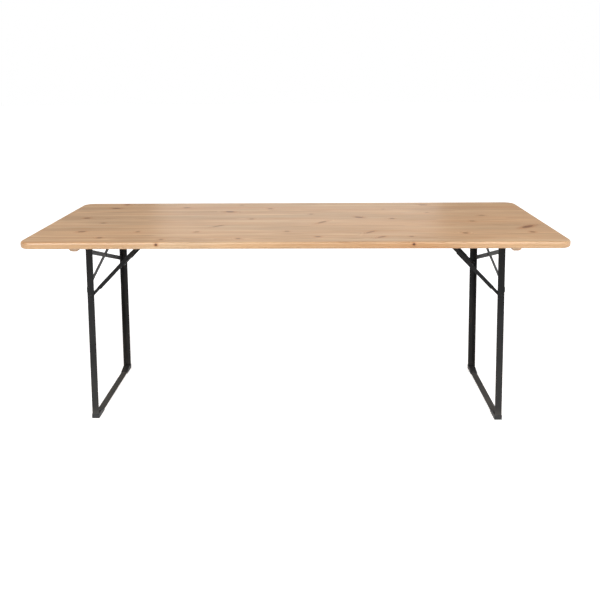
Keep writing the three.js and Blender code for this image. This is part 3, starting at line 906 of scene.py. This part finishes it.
def make_welds():
    """Beads along both edges and the tip of each brace end, on the leg's end flange."""
    for side, sign_x in SIDES.items():
        for end, sign_y in ENDS.items():
            beads = []
            for kind, lean, inset in (("inner_brace", -1, 0.6 * MM), ("outer_brace", 1, -0.6 * MM)):
                low, high, slope, half = brace_heights("right_" + kind)
                slope *= lean * sign_y
                middle = (low.z + high.z) / 2
                x = (high.x if lean < 0 else low.x) - inset
                y0, y1 = LEG_LOW.y + 1.5 * MM, high.y - 0.5 * MM
                for edge in (-half, half):
                    ends = [(x, y, middle + slope * y + edge) for y in (y0, y1)]
                    beads.append(bead(*ends, WELD_RADIUS, 3 * edge / MM))
                tip_z = middle + slope * high.y
                tip = [(x, high.y, tip_z + share * half) for share in (-0.8, 0.8)]
                beads.append(bead(*tip, WELD_RADIUS, 1.0))
            welds = moved(gathered(*beads), Matrix.Diagonal((sign_x, sign_y, 1, 1)))
            add(f"{side}_{end}_welds", welds, MATERIALS["powder_coat"],
                f"{side}_leg_frame")


def make_brace_rivets():
    low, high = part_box("right_brace_rivet")
    inner_low, inner_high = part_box("right_inner_brace")
    outer_low, outer_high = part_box("right_outer_brace")
    middle = (low.z + high.z) / 2
    shank = BRACE_SHANK
    head = high.y
    profile = [
        *domed(head, inner_low.x - FIT, low.x - inner_low.x + FIT)[::-1],
        (shank, inner_low.x - FIT), (shank, inner_high.x + FIT),
        (head, inner_high.x + FIT), (head, outer_low.x - FIT),
        (shank, outer_low.x - FIT), (shank, outer_high.x + FIT),
        *domed(head, outer_high.x + FIT, high.x - outer_high.x - FIT),
    ]
    halves("brace_rivet", turned(profile, "X", (0, 0, middle)), "powder_coat")


make_legs()
make_floor_bars()
make_foot_caps()
make_braces()
make_welds()
make_brace_rivets()

# ---- hinges ---------------------------------------------------------------------------


def make_brackets():
    """Plate under the top with an ear bent down from its outer edge."""
    low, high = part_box("right_rear_hinge_bracket")
    plate = prism(
        rounded([
            (low.x, low.y, 5 * MM), (high.x, low.y, 5 * MM),
            (high.x, high.y, 1 * MM), (low.x, high.y, 1 * MM),
        ]),
        "Z", high.z - STEEL, high.z,
    )
    side = HINGE.z - low.z
    ear_outline = [(HINGE.x + side, high.z - STEEL / 2), (HINGE.x - side, high.z - STEEL / 2)]
    ear_outline += arc((HINGE.x, HINGE.z), side, 180, 360, 20)
    ear = prism(ear_outline, "Y", high.y - STEEL, high.y)
    corner = (high.y - STEEL, high.z - STEEL)
    into, past, hollow = 0.4 * MM, -1.2 * MM, -0.35 * MM
    bend = prism(
        [(corner[0] + u, corner[1] + v)
         for u, v in ((past, into), (into, into), (into, past), (hollow, hollow))],
        "X", HINGE.x - side + into, HINGE.x + side - into,
    )
    bracket = boolean("UNION", plate, ear, bend)
    bore = hole(HINGE.x, HINGE.z, PIVOT_RADIUS + FIT, high.y - 2 * STEEL, high.y + STEEL)
    bracket = eased(boolean("DIFFERENCE", bracket, bore), 0.5 * MM, 3)
    quarters("hinge_bracket", bracket, "powder_coat")


def make_hinge_pins():
    low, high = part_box("right_rear_hinge_pin")
    ear_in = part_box("right_rear_hinge_bracket")[1].y - STEEL
    head = LEG_HIGH.y + FIT
    tail = ear_in - FIT
    profile = [
        *domed(PIN_TAIL_RADIUS, tail, low.y - tail)[::-1],
        (PIVOT_RADIUS, tail), (PIVOT_RADIUS, head),
        *domed(high.z - HINGE.z, head, high.y - head),
    ]
    quarters("hinge_pin", turned(profile, "Y", (HINGE.x, 0, HINGE.z)), "powder_coat")


def make_strut_bolts():
    """Round-headed bolt with a six-sided nut, and a thread that shows past it."""
    low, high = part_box("right_rear_strut_bolt")
    tongue_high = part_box("right_rear_strut")[1].y
    nut_high = tongue_high - STEEL - FIT
    nut_low = nut_high - NUT_HEIGHT
    head = LEG_HIGH.y + FIT
    thread = [(0, low.y), (PIVOT_RADIUS - 0.7 * MM, low.y)]
    for k in range(1, 3):
        thread += [
            (PIVOT_RADIUS, low.y + (k - 0.4) * THREAD_PITCH),
            (PIVOT_RADIUS - 0.4 * MM, low.y + k * THREAD_PITCH),
        ]
    shaft = turned([
        *thread, (PIVOT_RADIUS, nut_low + MM), (PIVOT_RADIUS, head),
        *domed(high.z - PIVOT.z, head, high.y - head),
    ], "Y", (PIVOT.x, 0, PIVOT.z))
    corner = NUT_CORNER
    hexagon = prism(arc((PIVOT.x, PIVOT.z), corner, 0, 300, 5), "Y", nut_low, nut_high)
    softener = turned([
        (0, nut_low), (0.86 * corner, nut_low), (1.02 * corner, nut_low + 1.3 * MM),
        (1.02 * corner, nut_high - 1.3 * MM), (0.86 * corner, nut_high), (0, nut_high),
    ], "Y", (PIVOT.x, 0, PIVOT.z))
    nut = boolean("INTERSECT", hexagon, softener)
    quarters("strut_bolt", boolean("UNION", shaft, nut), "powder_coat")


def make_strut_washers():
    low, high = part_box("right_rear_strut_washer")
    radius = high.z - PIVOT.z
    inner = PIVOT_RADIUS + FIT
    ease = 0.5 * MM
    profile = [
        (inner, low.y), (radius - ease, low.y), (radius, low.y + ease), (radius, high.y - ease),
        (radius - ease, high.y), (inner, high.y),
    ]
    quarters("strut_washer", turned(profile, "Y", (PIVOT.x, 0, PIVOT.z)), "zinc")


make_brackets()
make_hinge_pins()
make_strut_bolts()
make_strut_washers()

# ---- struts, tie rods, rails and locks ------------------------------------------------


def make_struts():
    """Angle profile with narrower flat ends, made along -X from the lower pivot, then turned."""
    low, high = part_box("right_rear_strut")
    start = Vector((PIVOT.x, 0, PIVOT.z))
    tip = Vector((ROD_X, 0, HINGE.z))
    length = (tip - start).length
    tongue, upper, lower = STRUT_TONGUE_RADIUS, STRUT_ABOVE, -STRUT_BELOW
    inner, outer = -length + STRUT_TONGUE, -STRUT_TONGUE
    outline = arc((-length, 0), tongue, 90, 270, 18)
    outline += [(inner, -tongue), (inner, lower), (outer, lower), (outer, -tongue)]
    outline += arc((0, 0), tongue, -90, 90, 18)
    outline += [(outer, tongue), (outer, upper), (inner, upper), (inner, tongue)]
    web = prism(outline, "Y", high.y - STEEL, high.y)
    flange_outline = [
        (inner, high.y - MM), (outer, high.y - MM),
        (outer - STRUT_SLANT, low.y), (inner + STRUT_SLANT, low.y),
    ]
    flange = prism(flange_outline, "Z", lower, lower + STEEL)
    bar = boolean("UNION", web, flange)
    reach = (high.y - 2 * STEEL, high.y + STEEL)
    bar = boolean(
        "DIFFERENCE", bar,
        hole(0, 0, PIVOT_RADIUS + FIT, *reach), hole(-length, 0, RIVET_SHANK + FIT, *reach),
    )
    tilt = math.atan2(tip.z - start.z, start.x - tip.x)
    place = Matrix.Translation(start) @ Matrix.Rotation(tilt, 4, "Y")
    quarters("strut", moved(eased(bar, 0.5 * MM, 3), place), "powder_coat")


def make_strut_rivets():
    low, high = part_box("right_rear_strut_rivet")
    web_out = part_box("right_rear_strut")[1].y
    inner, outer = web_out - STEEL - FIT, web_out + FIT
    radius = high.z - HINGE.z
    profile = [
        *domed(radius, inner, low.y - inner)[::-1],
        (RIVET_SHANK, inner), (RIVET_SHANK, outer),
        *domed(radius, outer, high.y - outer),
    ]
    quarters("strut_rivet", turned(profile, "Y", (ROD_X, 0, HINGE.z)), "powder_coat")


def make_tie_rods():
    """Round bar with chamfered ends and a shallow groove worn where each rail carries it."""
    radius = (ROD_HIGH.z - ROD_LOW.z) / 2
    end = ROD_HIGH.y
    _, rail_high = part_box("right_rear_guide_rail")
    worn = ROD_WEAR
    half = [
        (0, end), (radius - ROD_CHAMFER, end), (radius, end - ROD_CHAMFER),
        (radius, rail_high.y + MM), (radius - worn, rail_high.y),
        (radius - worn, rail_high.y - STEEL),
        (radius, rail_high.y - STEEL - MM), (radius, 14 * MM), (radius - worn, 12 * MM),
    ]
    profile = [(r, -y) for r, y in half] + half[::-1]
    halves("tie_rod", turned(profile, "Y", (ROD_X, 0, HINGE.z)), "zinc")


def make_rails():
    low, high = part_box("right_rear_guide_rail")
    section = rounded([
        (high.y, high.z, 1.0 * MM), (low.y, high.z, 0.3 * MM),
        (low.y, high.z - STEEL, TOE_ROUND), (high.y - STEEL, high.z - STEEL, ANGLE_FILLET),
        (high.y - STEEL, low.z, TOE_ROUND), (high.y, low.z, 0.3 * MM),
    ])
    bar = prism(section, "X", low.x, high.x)
    for sign, x in ((-1, low.x), (1, high.x)):
        bar = sliced(bar, (x - sign * RAIL_CHAMFER, 0, low.z), (sign, 0, -1))
    radius = (ROD_HIGH.z - ROD_LOW.z) / 2 + FIT
    travel = next(j for j in frame["joints"] if j["name"] == "right_rod_slide")["range_m"][1]
    slot = arc((ROD_X - travel, HINGE.z), radius, 90, 270, 12)
    slot += arc((ROD_X, HINGE.z), radius, -90, 90, 12)
    bar = boolean("DIFFERENCE", bar, prism(slot, "Y", high.y - 2 * STEEL, high.y + STEEL))
    quarters("guide_rail", eased(bar, 0.4 * MM, 2), "powder_coat")


def ribbon(path, bend_radius, thickness, y_low, y_high):
    """A strip bent along a path of (x, z) corners, each with the same inner radius."""
    line = [Vector(path[0])]
    for before, here, after in zip(path, path[1:], path[2:]):
        corner = rounded([(*before, 0), (*here, bend_radius), (*after, 0)], 6)
        line += corner[1:-1]
    line.append(Vector(path[-1]))
    left, right = [], []
    for i, point in enumerate(line):
        along = (line[min(i + 1, len(line) - 1)] - line[max(i - 1, 0)]).normalized()
        normal = Vector((-along.y, along.x)) * thickness / 2
        left.append(point + normal)
        right.append(point - normal)
    return prism(left + right[::-1], "Y", y_low, y_high)


def make_lock_clips():
    """Spring strip bent round under the top, with a second arm spot-welded inside it."""
    low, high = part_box("right_lock_clip")
    strip = CLIP_STRIP
    mid = strip / 2
    grip = (ROD_HIGH.z - ROD_LOW.z) / 2 + FIT
    tip = ROD_X - CLIP_ARM
    flare = CLIP_FLARE
    back = high.x - mid
    lower = HINGE.z - grip - mid
    upper = HINGE.z + grip + mid
    outer_arm = [
        (low.x, high.z - mid), (back, high.z - mid), (back, lower),
        (tip, lower), (tip - flare, lower - flare),
    ]
    inner_arm = [
        (tip - flare, upper + flare), (tip, upper), (back - strip - 0.05 * MM, upper),
        (back - strip - 0.05 * MM, upper + 8 * MM),
    ]
    strips = [
        eased(ribbon(arm, CLIP_BEND, strip, low.y, high.y), 0.3 * MM, 2, 50)
        for arm in (outer_arm, inner_arm)
    ]
    halves("lock_clip", gathered(*strips), "spring_steel")


make_struts()
make_strut_rivets()
make_tie_rods()
make_rails()
make_lock_clips()

# ---- wood screws ----------------------------------------------------------------------

SCREW_HEAD = 2.1 * MM
SCREW_RADIUS = 3.9 * MM


def screw():
    """Round head under the origin, with a cross recess in its crown and a stub of shank above."""
    head = turned([
        *domed(SCREW_RADIUS, 0, -SCREW_HEAD)[::-1], (1.8 * MM, 0), (1.8 * MM, 2 * MM), (0, 2 * MM),
    ], "Z", (0, 0, 0), 32)
    arms = [
        prism(rectangle(-u, u, -v, v), "Z", -3 * MM, -0.8 * MM)
        for u, v in ((2.3 * MM, 0.45 * MM), (0.45 * MM, 2.3 * MM))
    ]
    return boolean("DIFFERENCE", head, *arms)


def screws(places):
    """Screws with their flat sides at these points, each turned a little differently."""
    one = screw()
    return gathered(*(
        moved(one, Matrix.Translation(place) @ Matrix.Rotation(0.7 * i + place[0] * 9, 4, "Z"))
        for i, place in enumerate(places)
    ))


def make_screws():
    plate_low, plate_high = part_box("right_rear_hinge_bracket")
    rail_low, rail_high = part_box("right_rear_guide_rail")
    clip_low, clip_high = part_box("right_lock_clip")
    batten_low, batten_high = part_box("right_batten")
    plate_z = plate_high.z - STEEL
    in_bracket = [
        (plate_low.x + 8 * MM, plate_low.y + 9 * MM, plate_z),
        (plate_high.x - 9 * MM, plate_low.y + 9 * MM, plate_z),
        (plate_low.x + 7 * MM, plate_high.y - 11 * MM, plate_z),
    ]
    rail_y = (rail_low.y + rail_high.y - STEEL) / 2
    rail_run = rail_high.x - rail_low.x
    in_rail = [
        (rail_low.x + rail_run * share, rail_y, rail_high.z - STEEL)
        for share in (0.06, 0.35, 0.65, 0.94)
    ]
    in_clip = [(clip_low.x + 5 * MM, y, clip_high.z - CLIP_STRIP) for y in (-6 * MM, 6 * MM)]
    batten_x = (batten_low.x + batten_high.x) / 2
    in_batten = [(batten_x, y, batten_low.z + SCREW_HOLE_DEPTH) for y in BATTEN_SCREWS]
    for side, sign_x in SIDES.items():
        mirror = Matrix.Diagonal((sign_x, 1, 1, 1))
        for name, places in (("lock_clip_screws", in_clip), ("batten_screws", in_batten)):
            add(f"{side}_{name}", moved(screws(places), mirror), ZINC, "top")
        for end, sign_y in ENDS.items():
            mirror = Matrix.Diagonal((sign_x, sign_y, 1, 1))
            for name, places in (("bracket_screws", in_bracket), ("rail_screws", in_rail)):
                add(f"{side}_{end}_{name}", moved(screws(places), mirror), ZINC, "top")


make_screws()

# ---- floor, light and world -----------------------------------------------------------

FLOOR_SIZE = 60
FLOOR_LIFT = 0.65  # what the paper shows, seen or mirrored, on top of the light that falls on it
SKY_LOW = 0.85
SKY_HIGH = 0.46
SKY_IN_GLOSS = 0.28
CARDS = {
    # name: place, where it points, width, height, watts, whether it lights as well as shines
    "key": ((0.7, -3.4, 4.8), (0.1, 0, 0.6), 4.5, 2.5, 148, True),
    "shine_left": ((-2.7, -4.0, 3.8), (-0.9, -0.4, 0.8), 2.4, 1.4, 300, False),
    "shine_right": ((2.8, -4.0, 3.8), (0.9, -0.4, 0.8), 2.2, 1.4, 170, False),
    "shine_behind": ((-0.05, 2.1, 1.25), (-0.05, 0, 1.1), 2.2, 0.5, 2.5, False),
}


def make_floor():
    bm = bmesh.new()
    bmesh.ops.create_grid(bm, x_segments=4, y_segments=4, size=FLOOR_SIZE / 2)
    mesh = as_mesh(bm)
    floor = bpy.data.objects.new("floor", mesh)
    SCENE.collection.objects.link(floor)
    s = Shader("floor_paper")
    tint = s.noise((0.7, 0.7, 0.7), detail=2.0)
    path = s.node("LightPath").outputs
    seen = s.math("MAXIMUM", path["Is Camera Ray"], path["Is Glossy Ray"])
    s.set(Base_Color=s.mix(tint, rgb(242, 242, 242), rgb(246, 246, 246)), Roughness=0.9)
    s.set(Emission_Color=(1, 1, 1, 1), Emission_Strength=s.math("MULTIPLY", seen, FLOOR_LIFT))
    mesh.materials.append(s.material)


def make_world():
    """A white room: dimmer overhead than at the horizon, and dimmer still where it is mirrored."""
    world = bpy.data.worlds.new("studio")
    SCENE.world = world
    world.use_nodes = True
    tree = world.node_tree
    background = tree.nodes["Background"]
    look = tree.nodes.new("ShaderNodeTexCoord")
    parts = tree.nodes.new("ShaderNodeSeparateXYZ")
    fade = tree.nodes.new("ShaderNodeMapRange")
    path = tree.nodes.new("ShaderNodeLightPath")
    gloss = tree.nodes.new("ShaderNodeMix")
    shown = tree.nodes.new("ShaderNodeMix")
    tree.links.new(look.outputs["Generated"], parts.inputs[0])
    tree.links.new(parts.outputs[2], fade.inputs[0])
    for socket, value in zip(fade.inputs[1:], (0.2, 0.85, SKY_LOW, SKY_HIGH)):
        socket.default_value = value
    tree.links.new(path.outputs["Is Glossy Ray"], gloss.inputs[0])
    tree.links.new(fade.outputs[0], gloss.inputs[2])
    gloss.inputs[3].default_value = SKY_IN_GLOSS
    tree.links.new(path.outputs["Is Camera Ray"], shown.inputs[0])
    tree.links.new(gloss.outputs[0], shown.inputs[2])
    shown.inputs[3].default_value = 1.0
    background.inputs["Color"].default_value = (1, 1, 1, 1)
    tree.links.new(shown.outputs[0], background.inputs["Strength"])


def make_cards():
    for name, (place, target, width, height, watts, lights) in CARDS.items():
        data = bpy.data.lights.new(name, "AREA")
        data.shape = "RECTANGLE"
        data.size = width
        data.size_y = height
        data.energy = watts
        card = bpy.data.objects.new(name, data)
        SCENE.collection.objects.link(card)
        aim = Vector(target) - Vector(place)
        turn = aim.to_track_quat("-Z", "Y").to_matrix().to_4x4()
        card.matrix_world = Matrix.Translation(place) @ turn
        card.visible_camera = False
        card.visible_diffuse = lights


make_floor()
make_world()
make_cards()
SCENE.view_settings.view_transform = "Standard"
